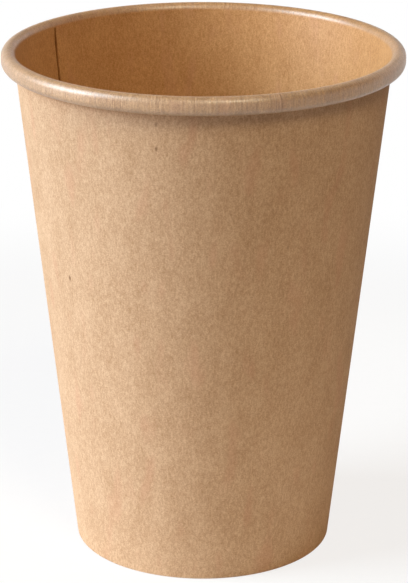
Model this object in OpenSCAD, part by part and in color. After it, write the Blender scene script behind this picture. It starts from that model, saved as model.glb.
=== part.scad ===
// Paper hot-drink cup: single wall, natural brown board, coated on the inside.
// It is made of two pieces, one side sheet and one base disc.
// The sheet is wrapped and glued into a cone, rolled outwards into the rim
// and turned up inside the foot, where it holds the skirt of the base.
// Sizes are in millimetres. The cup stands on z = 0, mouth up, front to -Y.

/* [Cup] */
// Diameter over the rolled rim
rim_d = 90; // [84:0.5:98]
// Height from the table to the top of the rim
cup_h = 116.5; // [90:0.5:150]
// Diameter where the slope of the wall's outside meets the table
foot_d = 59; // [52:0.5:66]

/* [Board] */
// Thickness of the side sheet
wall_t = 0.4; // [0.3:0.02:0.44]
// Thickness of the base disc
base_t = 0.35; // [0.25:0.01:0.45]
// Clearance left for the melted coating between base and side sheet
seal = 0.03; // [0.02:0.01:0.06]

/* [Rolled rim] */
// Width of the roll
roll_w = 3.2; // [3:0.1:4]
// Height of the roll
roll_h = 4.1; // [4:0.1:5]
// Turn of the cut edge that is tucked inside the roll, past the lowest point
tuck_turn = 110; // [60:5:140]
// Clearance between the tucked part and the doubled wall behind it
tuck_gap = 0.06; // [0.04:0.01:0.1]

/* [Side seam] */
// Width of the glued overlap
lap_w = 7; // [5:0.5:10]
// Direction of the inner cut edge, from +X towards +Y
lap_az = 145; // [0:5:355]
// Height above the table where the outer layer is notched off
lap_foot = 1.2; // [1:0.1:3]
// Width of the groove that the inner cut edge leaves in the rim and the foot
groove = 0.4; // [0.2:0.05:0.6]

/* [Base] */
// Depth of the recess under the disc
base_up = 7; // [6.5:0.5:12]
// Outside radius of the bend between disc and skirt
base_bend = 1; // [0.7:0.1:1.3]
// Height of the hem that is turned up inside the foot
hem_h = 5.5; // [3.5:0.5:5.5]
// Clearance between the skirt's cut edge and the floor of the fold
skirt_gap = 0.3; // [0.1:0.1:1]

/* [Hidden] */
$fn = 144;

// Room that a cutting shape has past the piece that it cuts
past = 1;
// Depth at which the flat stretch of the seam starts below the round faces,
// so that it comes out of them at a clear angle
sink = 0.02;

// Centres of the two half circles of the roll
roll_r = roll_w / 2;
roll_x = rim_d / 2 - roll_r;
top_c = [roll_x, cup_h - roll_r];
low_c = [roll_x, cup_h - roll_h + roll_r];

// The wall leans from the foot to the start of the roll, level with top_c
slope = (roll_x - roll_r + wall_t - foot_d / 2) / top_c[1];
lean = atan(slope);

// The tucked part turns as wide as the doubled wall behind it allows
tuck_side = (roll_r - 2 * wall_t) * cos(lean) + (roll_h - roll_r) * sin(lean);
tuck_r = floor((tuck_side - tuck_gap) / (1 + sin(lean)) * 100) / 100;
tuck_c = [roll_x, cup_h - roll_h + tuck_r];

// Pocket between wall and hem, and its two lower corners
pocket = base_t + 2 * seal;
wall_foot = face(wall_t, 0);
hem_foot = face(wall_t, -pocket);

// Beside the inner cut edge the outer layer leaves the round and runs flat,
// until it lies one thickness further out at half height
rise_deg = acos(1 - (wall_t + sink) / face(cup_h / 2, wall_t)[0]);
rise_len = rim_d / 2 * tan(rise_deg);

// Base: centre of the bend between disc and skirt
bend_z = base_up + base_t - base_bend;
bend_c = face(bend_z, -seal) - [base_bend, 0];

// Point of the wall at height z and at depth d below its coated face; board
// thickness is measured level, like z it is exact where two shapes meet
function face(z, d) = [foot_d / 2 - wall_t + d + z * slope, z];

// Leaning board between two heights, of thickness t from depth d
module leaf(z0, z1, d, t) {
    polygon([face(z0, d), face(z0, d + t), face(z1, d + t), face(z1, d)]);
}

// Bent board about c, with its outside radius, between two angles
module bend(c, r, t, a0, a1) {
    step = (a1 - a0) / 4;
    translate(c)
        intersection() {
            difference() {
                circle(r = r);
                if (r > t)
                    circle(r = r - t);
            }
            polygon(concat(
                [[0, 0]],
                [for (i = [0 : 4]) 2 * r * [cos(a0 + i * step), sin(a0 + i * step)]]
            ));
        }
}

// The foot: the hem turned up inside, and the fold
module foot_section() {
    leaf(wall_t, hem_h, -pocket - wall_t, wall_t);
    bend(hem_foot, wall_t, wall_t, 180, 270);
    translate([hem_foot[0], 0])
        square([pocket, wall_t]);
    bend(wall_foot, wall_t, wall_t, 270, 360);
}

// The rolled rim down to its lowest point, d inside its usual outline
module roll_section(d) {
    bend(top_c, roll_r - d, wall_t, 0, 180);
    translate([roll_x + roll_r - d - wall_t, low_c[1]])
        square([wall_t, top_c[1] - low_c[1]]);
    bend(low_c, roll_r - d, wall_t, -90, 0);
}

// All that lies between two distances from the plane through the cup's axis
// and the inner cut edge; the overlap lies on the minus side of that plane
module seam_band(from, to) {
    rotate([0, 0, lap_az])
        translate([0, from, -past])
            cube([rim_d / 2 + past, to - from, cup_h + 2 * past]);
}

// All that lies inside the flat stretch at depth d, between two heights
module inside_flat(d, z0, z1) {
    rotate([0, 0, lap_az + rise_deg])
        rotate([90, 0, 0])
            linear_extrude(height = rise_len + lap_w + past)
                polygon([[foot_d / 4, z0], face(z0, d), face(z1, d), [foot_d / 4, z1]]);
}

// The sheet all round, in one thickness: hem, fold, wall, roll and tucked edge,
// grooved where the inner cut edge lies
module round_sheet() {
    difference() {
        rotate_extrude()
            union() {
                foot_section();
                leaf(wall_t, top_c[1], 0, wall_t);
                roll_section(0);
                bend(tuck_c, tuck_r, wall_t, -90 - tuck_turn, -90);
            }
        seam_band(0, groove);
    }
}

// The outer layer of the overlap, with the flat stretch in which it rises
module outer_wall() {
    intersection() {
        rotate_extrude()
            leaf(lap_foot, top_c[1], sink, 2 * wall_t - sink);
        seam_band(-lap_w, rise_len + past);
        inside_flat(wall_t - sink, 0, cup_h);
    }
}

// The top of the outer layer, inside the roll
module outer_roll() {
    intersection() {
        rotate_extrude()
            union()
                roll_section(wall_t);
        seam_band(-lap_w, rise_len);
    }
}

// Below the flat stretch the inner cut edge stands free
module side_wall() {
    color("burlywood")
        difference() {
            union() {
                round_sheet();
                outer_wall();
                outer_roll();
            }
            intersection() {
                inside_flat(-sink, lap_foot, top_c[1]);
                seam_band(0, rise_len + past);
            }
        }
}

module base_disc() {
    color("tan")
        rotate_extrude()
            union() {
                translate([0, base_up])
                    square([bend_c[0], base_t]);
                bend(bend_c, base_bend, base_t, 0, 90);
                leaf(wall_t + skirt_gap, bend_z, -seal - base_t, base_t);
            }
}

side_wall();
base_disc();
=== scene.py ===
# %% [markdown]
# # A brown paper cup
#
# The cup is two pieces of board. One sheet is wrapped into a cone, glued where
# its ends lap, rolled outwards into the rim and turned up inside the foot. A
# round base hangs in that foot by its own turned-down skirt. The CAD model
# fixes every size. This script dresses it: fine meshes of the two pieces,
# four finishes of the board, and a plain studio.

# %% Load the cup
import math

import bmesh
import bpy
from mathutils import Matrix, Vector


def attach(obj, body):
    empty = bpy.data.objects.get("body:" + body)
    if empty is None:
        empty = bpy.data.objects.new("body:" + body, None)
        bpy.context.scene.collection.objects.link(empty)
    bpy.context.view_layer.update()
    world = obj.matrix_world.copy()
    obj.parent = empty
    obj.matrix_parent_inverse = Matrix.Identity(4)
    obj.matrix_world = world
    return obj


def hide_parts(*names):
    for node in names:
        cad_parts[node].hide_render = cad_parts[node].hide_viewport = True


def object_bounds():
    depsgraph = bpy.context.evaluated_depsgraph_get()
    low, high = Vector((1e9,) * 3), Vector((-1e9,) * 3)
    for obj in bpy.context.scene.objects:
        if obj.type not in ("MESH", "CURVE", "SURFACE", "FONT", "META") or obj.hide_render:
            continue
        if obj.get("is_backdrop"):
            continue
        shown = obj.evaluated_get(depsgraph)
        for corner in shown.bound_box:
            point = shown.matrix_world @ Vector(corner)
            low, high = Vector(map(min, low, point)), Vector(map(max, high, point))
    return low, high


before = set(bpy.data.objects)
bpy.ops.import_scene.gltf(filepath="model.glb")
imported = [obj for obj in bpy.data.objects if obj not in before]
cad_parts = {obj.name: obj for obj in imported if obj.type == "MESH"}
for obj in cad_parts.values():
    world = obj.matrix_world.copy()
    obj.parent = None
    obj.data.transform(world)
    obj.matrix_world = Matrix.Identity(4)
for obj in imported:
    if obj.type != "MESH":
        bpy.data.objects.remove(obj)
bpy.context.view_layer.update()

# %% [markdown]
# ## The camera
#
# A camera can be fitted to a round cup from its outline alone: the ellipse of
# the rim gives the tilt, and the way the wall narrows gives the distance. The
# fit gave a long lens that looks down by 19 degrees. The picture is taller
# than wide, so Blender lays its 36 mm sensor along the height.

# %% Camera
PICTURE_WIDE, PICTURE_HIGH = 408, 583
SENSOR = 36
FOCAL_PIXELS = 2592.5
CENTRE_PIXEL = 203.1
LOOKS_DOWN, LEANS = 19.31, 0.1
STANDS_AT = 0, -0.562, 0.2556

studio_camera = bpy.data.objects.new("studio_camera", bpy.data.cameras.new("studio_camera"))
bpy.context.scene.collection.objects.link(studio_camera)
studio_camera.data.sensor_width = SENSOR
studio_camera.data.lens = FOCAL_PIXELS * SENSOR / PICTURE_HIGH
studio_camera.data.shift_x = (PICTURE_WIDE / 2 - CENTRE_PIXEL) / PICTURE_HIGH
tilt = Matrix.Rotation(math.radians(90 - LOOKS_DOWN), 4, "X")
lean = Matrix.Rotation(math.radians(LEANS), 4, "Z")
studio_camera.matrix_world = Matrix.Translation(STANDS_AT) @ tilt @ lean
bpy.context.scene.camera = studio_camera
bpy.context.scene.view_settings.view_transform = "Standard"
print("lens:", round(studio_camera.data.lens, 1), "mm")

# %% [markdown]
# ## Shader sums in Python
#
# A material is a tree of nodes, and the wires between Math nodes are hard to
# read. So a small class stands for one output socket. Adding, subtracting or
# multiplying makes the Math node, also with a plain number in front, as in
# 1 - mask. Its method `node` makes any other kind of node.

# %% Signal
class Signal:
    """One output socket in a tree of nodes."""

    def __init__(self, tree, socket=None):
        self.tree = tree
        self.socket = socket

    def node(self, kind, settings, sockets, output=0):
        """A new node. Its settings come first, then a value or a link for each socket."""
        made = self.tree.nodes.new(kind)
        for name, value in settings.items():
            setattr(made, name, value)
        for name, value in sockets.items():
            if isinstance(value, Signal):
                self.tree.links.new(value.socket, made.inputs[name])
            else:
                made.inputs[name].default_value = value
        return Signal(self.tree, made.outputs[output] if made.outputs else None)

    def sibling(self, output):
        """Another output of the node that this one belongs to."""
        return Signal(self.tree, self.socket.node.outputs[output])

    def maths(self, operation, first, second):
        return self.node("ShaderNodeMath", {"operation": operation}, {0: first, 1: second})

    def __add__(self, other):
        return self.maths("ADD", self, other)

    def __radd__(self, other):
        return self.maths("ADD", other, self)

    def __sub__(self, other):
        return self.maths("SUBTRACT", self, other)

    def __rsub__(self, other):
        return self.maths("SUBTRACT", other, self)

    def __mul__(self, other):
        return self.maths("MULTIPLY", self, other)

    def __rmul__(self, other):
        return self.maths("MULTIPLY", other, self)


# %% [markdown]
# ## Masks, mixes and noise
#
# A mask is a number from 0 to 1 that says where something is, and Map Range
# makes one from any other number. A Math node would turn a colour grey, so
# colours go through Mix, and places go through Vector Math. Noise over the
# place on the object needs no image, and nothing has to be unwrapped for it.

# %% Masks, mixes and noise
def step(signal, low, high):
    """0 up to low, 1 from high on, smooth between them."""
    sockets = {"Value": signal, "From Min": low, "From Max": high}
    return signal.node("ShaderNodeMapRange", {"interpolation_type": "SMOOTHSTEP"}, sockets)


def mix(share, first, second):
    """The first colour where the share is 0, the second where it is 1."""
    # A Mix node has its sockets once for each type of data: 6, 7 and output 2 are the colours
    return share.node("ShaderNodeMix", {"data_type": "RGBA"}, {0: share, 6: first, 7: second}, 2)


def length(place):
    return place.node("ShaderNodeVectorMath", {"operation": "LENGTH"}, {0: place}, "Value")


def noise(place, per_unit, detail=2.0, roughness=0.5):
    """Noise with about so many grains to each unit of the place, which is a metre."""
    sockets = {"Vector": place, "Scale": per_unit, "Detail": detail, "Roughness": roughness}
    return place.node("ShaderNodeTexNoise", {}, sockets)


# %% [markdown]
# ## Floor
#
# The floor is a sheet of white paper. Lamps strong enough to burn it out to
# pure white would bleach the cup too. So part of what the camera and the gloss
# see of the floor is its own glow, and the rest is lit and keeps the shadow of
# the cup. Away from the cup the paper turns grey for all other light, so that
# only the part round the foot throws light up at the wall.

# %% An empty material
def grey(level):
    return (level, level, level, 1)


def new_material(name):
    """A material cleared of its nodes, and the place on the object as its first signal."""
    material = bpy.data.materials.new(name)
    material.use_nodes = True
    material.node_tree.nodes.clear()
    start = Signal(material.node_tree)
    return material, start.node("ShaderNodeTexCoord", {}, {}, "Object")


# %% Floor paper
FLOOR_GLOW = 0.78
SHEET_EDGE = 0.12, 0.26
TOOTH = 300
PAPER = grey(0.80), grey(0.86)
TABLE = grey(0.25)

floor_paper, place = new_material("floor_paper")
seen = place.node("ShaderNodeLightPath", {}, {}, "Is Camera Ray")
mirrored = seen.sibling("Is Glossy Ray")
away = step(length(place), *SHEET_EDGE)
sheet_and_table = mix(away, mix(noise(place, TOOTH), *PAPER), TABLE)
matt = place.node("ShaderNodeBsdfDiffuse", {}, {"Color": sheet_and_table})
glow = place.node("ShaderNodeEmission", {}, {"Strength": 1.0})
white = FLOOR_GLOW + (1 - FLOOR_GLOW) * away
both = place.node("ShaderNodeMixShader", {}, {0: (seen + mirrored) * white, 1: matt, 2: glow})
place.node("ShaderNodeOutputMaterial", {}, {"Surface": both})
print("nodes of the floor paper:", len(floor_paper.node_tree.nodes))

# %% Floor
FLOOR_HALF = 0.7

corners = [(x * FLOOR_HALF, y * FLOOR_HALF, 0) for x, y in ((-1, -1), (1, -1), (1, 1), (-1, 1))]
floor_mesh = bpy.data.meshes.new("floor")
floor_mesh.from_pydata(corners, [], [(0, 1, 2, 3)])
floor_mesh.materials.append(floor_paper)
floor = bpy.data.objects.new("floor", floor_mesh)
bpy.context.scene.collection.objects.link(floor)
floor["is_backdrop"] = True
print("floor:", 2 * FLOOR_HALF, "m wide")

# %% [markdown]
# ## Backdrop
#
# The world is white to the camera. In reflections it is a pale room with a dim
# ceiling, which keeps the coated inside of the cup from looking glazed. For all
# other light it is a low warm fill, which gives the shaded side its brown.

# %% World
WHITE = grey(1.0)
DIM_CEILING = (0.12, 0.11, 0.1, 1)
CEILING = 0.2, 0.55
FILL = (0.17, 0.065, 0.01, 1)


def height(place):
    return place.node("ShaderNodeSeparateXYZ", {}, {"Vector": place}, "Z")


studio_air = bpy.data.worlds.new("studio_air")
studio_air.use_nodes = True
studio_air.node_tree.nodes.clear()
towards = Signal(studio_air.node_tree).node("ShaderNodeTexCoord", {}, {}, "Generated")
seen = towards.node("ShaderNodeLightPath", {}, {}, "Is Camera Ray")
mirrored = seen.sibling("Is Glossy Ray")
reflected = mix(step(height(towards), *CEILING), WHITE, DIM_CEILING)
room = mix(seen, mix(mirrored, FILL, reflected), WHITE)
sky = towards.node("ShaderNodeBackground", {}, {"Color": room, "Strength": 1.0})
towards.node("ShaderNodeOutputWorld", {}, {"Surface": sky})
bpy.context.scene.world = studio_air
print("nodes of the world:", len(studio_air.node_tree.nodes))

# %% [markdown]
# ## Lamps
#
# The main light is a tall window on the left, made of a low and a high half.
# The low half makes the left of the wall glow. The high half looks over the rim
# and lights the right of the inside. A small warm panel high in front fills the
# shaded right of the wall, throws the shadow of the rim and draws the short
# bright line on the roll. A weak one at the back keeps the far side from going
# black. Each lamp is a square panel that points at the middle of the cup.

# %% Lamps
CUP_MIDDLE = Vector((0, 0, 0.06))
WINDOW_AWAY, WINDOW_SIZE = 1.6, 0.9
PANEL_AWAY = 1.4


def soft_lamp(name, azimuth, elevation, distance, size, watts, colour):
    """A square panel; azimuth 0 is in front of the cup, and 90 to its right."""
    data = bpy.data.lights.new(name, "AREA")
    data.size = size
    data.energy = watts
    data.color = colour
    lamp = bpy.data.objects.new(name, data)
    bpy.context.scene.collection.objects.link(lamp)
    turn, rise = math.radians(azimuth), math.radians(elevation)
    level = math.cos(rise)
    outwards = Vector((math.sin(turn) * level, -math.cos(turn) * level, math.sin(rise)))
    lamp.location = CUP_MIDDLE + outwards * distance
    lamp.rotation_euler = outwards.to_track_quat("Z", "Y").to_euler()
    print(name, [round(v, 2) for v in lamp.location], watts, "W")


soft_lamp("window_low", -81, 14, WINDOW_AWAY, WINDOW_SIZE, watts=24, colour=(0.95, 0.94, 1.0))
soft_lamp("window_high", -78, 36, WINDOW_AWAY, WINDOW_SIZE, watts=28, colour=(0.69, 0.88, 1.0))
soft_lamp("panel_front", 20, 50, PANEL_AWAY, size=0.4, watts=7.7, colour=(1.0, 0.88, 0.62))
soft_lamp("panel_back", 140, 30, PANEL_AWAY, size=0.8, watts=1.5, colour=(1.0, 0.9, 0.8))

# %% [markdown]
# ## Fibres and specks
#
# Noise over a place whose height is scaled down is drawn out upwards, and that
# makes a fibre out of a grain. The board has grains, fibres that mostly run up
# the wall, and soft clouds where the pulp lies thicker. A few specks of bark
# lie at the middles of Voronoi cells, and a cell's own random colour draws
# whether it has one.

# %% Fibres and specks
# Each layer: the share of its height that it keeps, then grains in a metre, detail and roughness
GRAIN = 1, (3300, 1.0, 0.5)
FIBRE = 0.4, (2100, 3.0, 0.6)
CLOUD = 0.5, (220, 3.0, 0.55)
BLUSH = 0.3, (240, 1.0, 0.5)
SPECK_HEIGHT, SPECK_CELLS = 0.6, 110.0
SPECK_EDGE, SPECK_DRAW = (0.02, 0.06), (0.66, 0.70)


def upright(place, share):
    """The place with its height scaled by a share; with 0 only the level part is left."""
    sockets = {0: place, 1: (1, 1, share)}
    return place.node("ShaderNodeVectorMath", {"operation": "MULTIPLY"}, sockets)


def layer(place, share, grains):
    return noise(upright(place, share), *grains)


def bark_specks(place):
    """1 on a speck of bark, 0 beside it."""
    sockets = {"Vector": upright(place, SPECK_HEIGHT), "Scale": SPECK_CELLS}
    from_middle = place.node("ShaderNodeTexVoronoi", {}, sockets)
    drawn = place.node("ShaderNodeSeparateColor", {}, {"Color": from_middle.sibling("Color")})
    return (1 - step(from_middle, *SPECK_EDGE)) * step(drawn, *SPECK_DRAW)


# %% [markdown]
# ## Pulp
#
# Brown board is unbleached pulp, a tan sheet. Its tone goes from a deep to a
# pale brown with the fuzz, which is grains and fibres together, and a little
# with the clouds. A thin blush of pinkish fibres and the specks of bark lie on
# top. The fuzz is handed on, because it also stands up from the sheet.

# %% Pulp
PINK_FIBRE, BLUSH_DRAW, BLUSH_SHARE = (190, 138, 110), (0.55, 0.75), 0.25
BARK, BARK_SHARE = (98, 64, 38), 0.8
FUZZ_SHARE, CLOUD_SHARE = 0.85, 0.4


def painted(red, green, blue):
    """A colour as a paint program writes it, from 0 to 255, made linear for Blender."""
    shares = [part / 255 for part in (red, green, blue)]
    return (*[s / 12.92 if s <= 0.04045 else ((s + 0.055) / 1.055) ** 2.4 for s in shares], 1)


def pulp(place, deep, pale):
    """The colour of the pulp, and its fuzz, which is 0 on average."""
    fuzz = layer(place, *GRAIN) + layer(place, *FIBRE) - 1
    clouds = layer(place, *CLOUD) - 0.5
    tone = step(FUZZ_SHARE * fuzz + CLOUD_SHARE * clouds + 0.5, 0.0, 1.0)
    blush = BLUSH_SHARE * step(layer(place, *BLUSH), *BLUSH_DRAW)
    sheet = mix(blush, mix(tone, deep, pale), painted(*PINK_FIBRE))
    return mix(BARK_SHARE * bark_specks(place), sheet, painted(*BARK)), fuzz


# %% [markdown]
# ## The polish and painted sheen of the rim
#
# The sheet is coated inside, and the roll turns that side out. Rolling it polishes the coating
# and leaves fine creases across the roll. Past the crest the colour is painted a little paler and
# greyer: painted sheen, for the light that the outer half of the roll reflects. The polish starts
# lower, on the inner half, so that the far side of the rim catches the window too. The creases
# are noise over the direction from the axis of the cup, which doesn't change on the way across
# the roll.

# %% Polish and painted sheen of the rim
# painted sheen: the paler, greyer pulp past the crest stands in for light reflected by the outer
# roll
RIM_SHEEN_PULP = painted(156, 116, 78), painted(208, 168, 126)
CREST = 0.0428, 0.0440
ABOVE = 0.1147, 0.1158
CREASES = 180, 2.0, 0.7
THIN_COAT, POLISHED_COAT = 0.16, 1.15


def rim_polish_and_sheen(place, shades):
    """The shades with a painted sheen past the crest, the weight of the coat, and the creases."""
    level = upright(place, 0)
    outer = step(length(level), *CREST)
    polish = step(outer + step(height(place), *ABOVE), 0.0, 1.0)
    direction = level.node("ShaderNodeVectorMath", {"operation": "NORMALIZE"}, {0: level})
    streaks = noise(direction, *CREASES)
    # past the crest the pulp is painted paler and greyer: painted sheen
    shades_with_sheen = [mix(outer, inside, rim) for inside, rim in zip(shades, RIM_SHEEN_PULP)]
    return shades_with_sheen, THIN_COAT + POLISHED_COAT * polish * streaks, polish * (streaks - 0.5)


# %% [markdown]
# ## The finishes of the board
#
# The same pulp shows in four finishes: bare outside, under a thin clear coating inside and over
# the rim, raw at the cut edges, and painted dark at the inner cut edge, which is painted shade
# for the crevice where the seam steps. The coating is the coat of the Principled shader. The fuzz
# feeds a bump, and makes the board rougher or smoother from fibre to fibre. At the rim a second
# bump adds the creases.

# %% Board finish
CREASE_DEPTH = 0.0006
FUZZ_ROUGHNESS = 0.12
COAT_ROUGHNESS, COAT_IOR = 0.4, 1.95


def board_finish(name, shades, roughness, relief, shine=0.2, rolled=False):
    """A finish of the board; relief is in metres, and rolled adds the polished rim with its
    painted sheen.
    """
    material, place = new_material(name)
    coat = 0.0
    if rolled:
        shades, coat, creases = rim_polish_and_sheen(place, shades)
    colour, fuzz = pulp(place, *shades)
    sockets = {"Strength": 1.0, "Distance": relief, "Height": fuzz}
    bump = place.node("ShaderNodeBump", {}, sockets)
    if rolled:
        sockets = {"Strength": 1.0, "Distance": CREASE_DEPTH, "Height": creases, "Normal": bump}
        bump = place.node("ShaderNodeBump", {}, sockets)
    finish = place.node("ShaderNodeBsdfPrincipled", {}, {
        "Base Color": colour, "Roughness": FUZZ_ROUGHNESS * fuzz + roughness,
        "Specular IOR Level": shine, "Normal": bump,
        "Coat Weight": coat, "Coat Roughness": COAT_ROUGHNESS, "Coat IOR": COAT_IOR,
    })
    place.node("ShaderNodeOutputMaterial", {}, {"Surface": finish})
    return material


# %% Four finishes
DRY_PULP = painted(164, 129, 95), painted(210, 178, 146)
COATED_PULP = painted(165, 117, 68), painted(208, 162, 112)
# painted shade: the dark pulp of the inner cut edge stands in for the shade in the seam's crevice
SEAM_SHADE_PULP = painted(104, 66, 32), painted(136, 92, 50)

FINISHES = [
    board_finish("bare_board", DRY_PULP, 0.85, relief=0.000018, shine=0.12),
    board_finish("coated_board", COATED_PULP, 0.5, relief=0.000008, shine=0.25, rolled=True),
    board_finish("cut_board", DRY_PULP, 0.95, relief=0.00006),
    # the inner cut edge, painted dark as the shade of the seam's crevice
    board_finish("seam_painted_shade", SEAM_SHADE_PULP, 0.9, relief=0.00003),
]
BARE, COATED, CUT, SEAM_SHADE = range(len(FINISHES))
print("finishes:", [finish.name for finish in FINISHES])

# %% [markdown]
# ## A sheet of board as a mesh
#
# The board has two faces a fixed distance apart. The sizes are the CAD model's,
# in millimetres. The wall leans, so a point of it is found from its height and
# its depth below the coated face. All the rest of the section is bends, and
# each bend is an arc of a circle.

# %% Sizes and section
RIM_D, CUP_H, FOOT_D = 90.0, 116.5, 59.0
WALL_T, BASE_T, SEAL = 0.4, 0.35, 0.03
ROLL_R, ROLL_H = 1.6, 4.1
ROLL_X, TOP_Z, LOW_Z = RIM_D / 2 - ROLL_R, CUP_H - ROLL_R, CUP_H - ROLL_H + ROLL_R
SLOPE = (ROLL_X - ROLL_R + WALL_T - FOOT_D / 2) / TOP_Z


def face(z, depth):
    """The point of the wall at height z, so far below its coated face."""
    return FOOT_D / 2 - WALL_T + depth + z * SLOPE, z


def arc(centre, radius, start, end, steps):
    """Points on a circle, from one angle to the other."""
    turns = [math.radians(start + (end - start) * i / steps) for i in range(steps + 1)]
    return [(centre[0] + radius * math.cos(t), centre[1] + radius * math.sin(t)) for t in turns]


print("slope of the wall:", round(SLOPE, 5))

# %% [markdown]
# ## Along the section
#
# One list of stations runs from the cut edge of the hem, down, round the fold,
# up the wall and round the roll to the tucked edge. Each station has a point on
# the coated face and one on the bare face, and the name of its part. In the
# fold the coated face lies on itself, so its arc has no radius.

# %% Stations of the sheet
HEM_H, LAP_FOOT = 5.5, 1.2
TUCK_R, TUCK_TURN = 0.9, 110
POCKET = BASE_T + 2 * SEAL
STEP_FADE = 3.0
HEM_STEPS, FOLD_STEPS, WALL_STEPS = 4, 6, 40
ROLL_STEPS, TUCK_STEPS = 30, 14


def sheet_stations():
    """(coated point, bare point, part) along the section."""
    stations = []

    def leaf(heights, depth, thickness, part):
        stations.extend((face(z, depth), face(z, depth + thickness), part) for z in heights)

    def bend(centre, coated_r, bare_r, start, end, steps, part):
        coated, bare = (arc(centre, r, start, end, steps) for r in (coated_r, bare_r))
        stations.extend((c, b, part) for c, b in zip(coated, bare))

    hem = [HEM_H - (HEM_H - WALL_T) * i / HEM_STEPS for i in range(HEM_STEPS)]
    wall = [LAP_FOOT + (TOP_Z - LAP_FOOT) * i / WALL_STEPS for i in range(WALL_STEPS - 1)]
    tuck, tuck_end = (ROLL_X, CUP_H - ROLL_H + TUCK_R), -90 - TUCK_TURN
    leaf(hem, -POCKET, -WALL_T, "hem")
    bend(face(WALL_T, -POCKET), 0, WALL_T, 180, 270, FOLD_STEPS, "hem")
    bend(face(WALL_T, 0), 0, WALL_T, 270, 360, FOLD_STEPS, "hem")
    leaf([LAP_FOOT], 0, WALL_T, "hem")
    leaf(wall + [TOP_Z - STEP_FADE, TOP_Z], 0, WALL_T, "wall")
    bend((ROLL_X, TOP_Z), ROLL_R, ROLL_R - WALL_T, 180, 0, ROLL_STEPS, "roll")
    bend((ROLL_X, LOW_Z), ROLL_R, ROLL_R - WALL_T, 0, -90, ROLL_STEPS // 2, "roll")
    bend(tuck, TUCK_R, TUCK_R - WALL_T, -90, tuck_end, TUCK_STEPS, "tuck")
    return stations


stations = sheet_stations()
print("stations:", len(stations))

# %% [markdown]
# ## The seam
#
# A column is the section at one place round the cup. Where the ends of the sheet lap, the outer
# layer lies one thickness further out, and its cut edge is a step on the outside. On the other
# side the sheet has to rise over the inner cut edge. It does so without a crease, so the gap
# below it grows with the square of the way. That edge is painted dark, as painted shade of the
# seam's crevice, and makes the dark line inside the cup. The last column stands where the first
# one does, without its step.

# %% Columns round the cup
LAP_W, LAP_TURN, GROOVE = 7.0, 145.0, 0.4
RISE_TURN = 8.6
LAP_STEPS, RISE_STEPS, AROUND = 12, 14, 300


def overlap_turn(along):
    """The turn, at each radius, of what lies so far along the overlap from its outer edge."""
    return lambda radius: LAP_TURN - math.degrees(math.asin((LAP_W - along) / radius))


def rise_turn(past):
    """The turn of what lies past the inner cut edge, the same at each radius."""
    return lambda radius: LAP_TURN + past


def single_turn(share):
    """The turn, at each radius, at a share of the way that has one layer only."""
    def turn(radius):
        end = 360 - math.degrees(math.asin(LAP_W / radius))
        return LAP_TURN + RISE_TURN + (end - RISE_TURN) * share

    return turn


def sheet_columns():
    """(turn at a radius, lift of the bare face, lift of the coated face, cut edge)."""
    columns = [(overlap_turn(0), WALL_T, 0.0, "outer")]
    for i in range(1, LAP_STEPS + 1):
        columns.append((overlap_turn(LAP_W * i / LAP_STEPS), WALL_T, 0.0, ""))
    columns.append((rise_turn(0), WALL_T, WALL_T, "inner"))
    groove = math.degrees(GROOVE / ROLL_X)
    for i in range(RISE_STEPS + 1):
        past = groove + (RISE_TURN - groove) * i / RISE_STEPS
        gap = WALL_T * (1 - past / RISE_TURN) ** 2
        columns.append((rise_turn(past), gap, gap, ""))
    for i in range(1, AROUND + 1):
        columns.append((single_turn(i / AROUND), 0.0, 0.0, ""))
    return columns


columns = sheet_columns()
print("columns:", len(columns))

# %% [markdown]
# ## Placing the points
#
# At the seam a column's points move along the board's thickness. The step at
# the inner cut edge fades out below the roll, because no groove shows on the
# rim. Then the column is turned to its place round the cup.

# %% Points of a column
MM = 0.001


def lifted(station, bare_lift, coated_lift):
    """The two points of a station, moved along the board's thickness at the seam."""
    coated, bare, part = Vector(station[0]), Vector(station[1]), station[2]
    across = (bare - coated).normalized()
    if part != "wall":
        coated_lift = 0.0
    if part not in ("wall", "roll"):
        bare_lift = 0.0
    fade = min(1, (TOP_Z - coated.y) / STEP_FADE)
    return coated + across * (coated_lift * fade), bare + across * bare_lift


def set_round(point, turn):
    """A point of the section at its place round the cup, in metres."""
    angle = math.radians(turn(point[0]))
    return Vector((point[0] * math.cos(angle), point[0] * math.sin(angle), point[1])) * MM


def column_at(pairs, turn):
    """A whole column, with each of its points set round."""
    return [[set_round(point, turn) for point in pair] for pair in pairs]


# %% [markdown]
# ## Building a mesh of board
#
# Both pieces go through the same two functions. The first lays the faces
# between columns, gives each face its finish, closes the cut edges and merges
# the points that coincide. The second makes the object: smooth shading with
# sharp edges by angle keeps the roll round and the cuts crisp. The piece then
# takes the place of its CAD node and rides on the cup's one body.

# %% Faces of a board
MERGE = 0.0000005


def lay_faces(mesh, rows, finish_of, cut_ends):
    """Faces along both sides of the board and across its cut edges, merged and closed."""
    grid = [[[mesh.verts.new(point) for point in pair] for pair in row] for row in rows]
    for c, here in enumerate(grid):
        there = grid[(c + 1) % len(grid)]
        for s in range(len(here) - 1):
            for side in (0, 1):
                quad = [here[s][side], there[s][side], there[s + 1][side], here[s + 1][side]]
                made = mesh.faces.new(quad if side else quad[::-1])
                made.material_index = finish_of(c, s, side)
        for s in cut_ends:
            made = mesh.faces.new([here[s][0], there[s][0], there[s][1], here[s][1]])
            made.material_index = CUT
    bmesh.ops.remove_doubles(mesh, verts=mesh.verts, dist=MERGE)
    bmesh.ops.recalc_face_normals(mesh, faces=mesh.faces)


# %% A piece of board
SHARP = math.radians(35)


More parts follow.
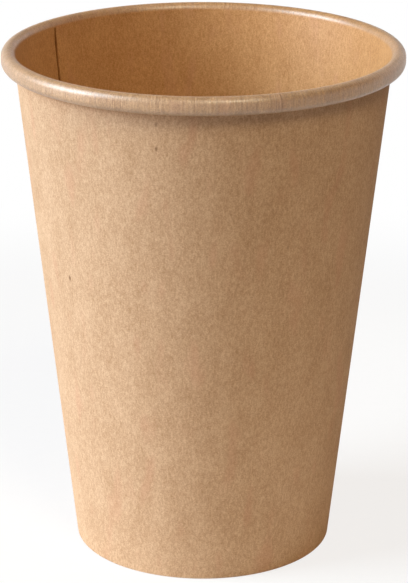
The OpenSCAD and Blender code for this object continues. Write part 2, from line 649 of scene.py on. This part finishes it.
def board_piece(name, rows, finish_of, cut_ends, node):
    """A piece of board. rows[column][station] is a pair of points on its two faces,
    finish_of(column, station, side) picks the finish of the face that starts there, and
    cut_ends are the stations where the board ends in a cut: 0, the first, or -1, the last."""
    mesh = bmesh.new()
    lay_faces(mesh, rows, finish_of, cut_ends)
    open_edges = sum(len(edge.link_faces) != 2 for edge in mesh.edges)
    data = bpy.data.meshes.new(name)
    mesh.to_mesh(data)
    mesh.free()
    for polygon in data.polygons:
        polygon.use_smooth = True
    data.set_sharp_from_angle(angle=SHARP)
    for finish in FINISHES:
        data.materials.append(finish)
    piece = bpy.data.objects.new(name, data)
    bpy.context.scene.collection.objects.link(piece)
    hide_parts(node)
    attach(piece, "root")
    triangles = sum(len(polygon.vertices) - 2 for polygon in data.polygons)
    print(name, "triangles:", triangles, "open edges:", open_edges)


# %% [markdown]
# ## The side sheet
#
# The coating covers the inside of the cup and, because the rim is rolled outwards, the whole
# outside of the roll too. The bare face is the outside of the wall. A strip of raw edge shows
# where the outer layer ends. Where the inner layer ends, a strip is painted dark as painted shade
# for the crevice of the seam.

# %% Side sheet
def sheet_finish(column, station, side):
    """The finish of the face between a column and the next, on side 0, coated, or 1, bare."""
    part, after = stations[station][2], stations[station + 1][2]
    if side == 0:
        # the inner cut edge is painted dark: painted shade for the seam's crevice
        return SEAM_SHADE if columns[column][-1] == "inner" and part == "wall" else COATED
    outer_edge = columns[(column + 1) % len(columns)][-1] == "outer"
    return CUT if outer_edge or (part != after and after != "roll") else BARE


side_rows = []
for turn, bare_lift, coated_lift, _ in columns:
    pairs = [lifted(station, bare_lift, coated_lift) for station in stations]
    side_rows.append(column_at(pairs, turn))
board_piece("cup_side", side_rows, sheet_finish, (0, -1), "side_wall")

# %% [markdown]
# ## The base
#
# The base is a disc whose edge is turned down into a skirt. Pressing it in
# leaves the disc a little hollow, deepest in the middle. Its coated face is on
# top, where the drink stands. Its section starts at the axis of the cup, so
# only the end of the skirt is a cut edge.

# %% Stations of the base
BASE_UP, BASE_BEND, SKIRT_GAP = 7.0, 1.0, 0.3
HOLLOW = 0.2
DISC_STEPS, BEND_STEPS = 24, 10


def base_stations():
    """Pairs of a coated and a bare point, from the middle of the disc to the end of the skirt."""
    bend_z = BASE_UP + BASE_T - BASE_BEND
    bend = (face(bend_z, -SEAL)[0] - BASE_BEND, bend_z)
    pairs = []
    for i in range(DISC_STEPS):
        share = i / DISC_STEPS
        x, under = bend[0] * share, BASE_UP - HOLLOW * (1 - share * share) ** 2
        pairs.append(((x, under + BASE_T), (x, under)))
    coated, bare = (arc(bend, r, 90, 0, BEND_STEPS) for r in (BASE_BEND, BASE_BEND - BASE_T))
    pairs.extend(zip(coated, bare))
    skirt_end = WALL_T + SKIRT_GAP
    pairs.append((face(skirt_end, -SEAL), face(skirt_end, -SEAL - BASE_T)))
    return pairs


disc_section = base_stations()
print("stations of the base:", len(disc_section))

# %% Base disc
BASE_AROUND = 160


def base_finish(column, station, side):
    return BARE if side else COATED


base_rows = []
for c in range(BASE_AROUND):
    angle = 360 * c / BASE_AROUND
    base_rows.append(column_at(disc_section, lambda radius: angle))
board_piece("cup_base", base_rows, base_finish, (-1,), "base_disc")

# %% [markdown]
# ## Sizes
#
# The dressed cup has to keep the size of the CAD model, so the size of the visual model is
# printed.

# %% Size of the visual model
visual_low, visual_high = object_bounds()
measured = [round((high - low) * 1000, 2) for low, high in zip(visual_low, visual_high)]
print("size of the visual model in mm:", measured)
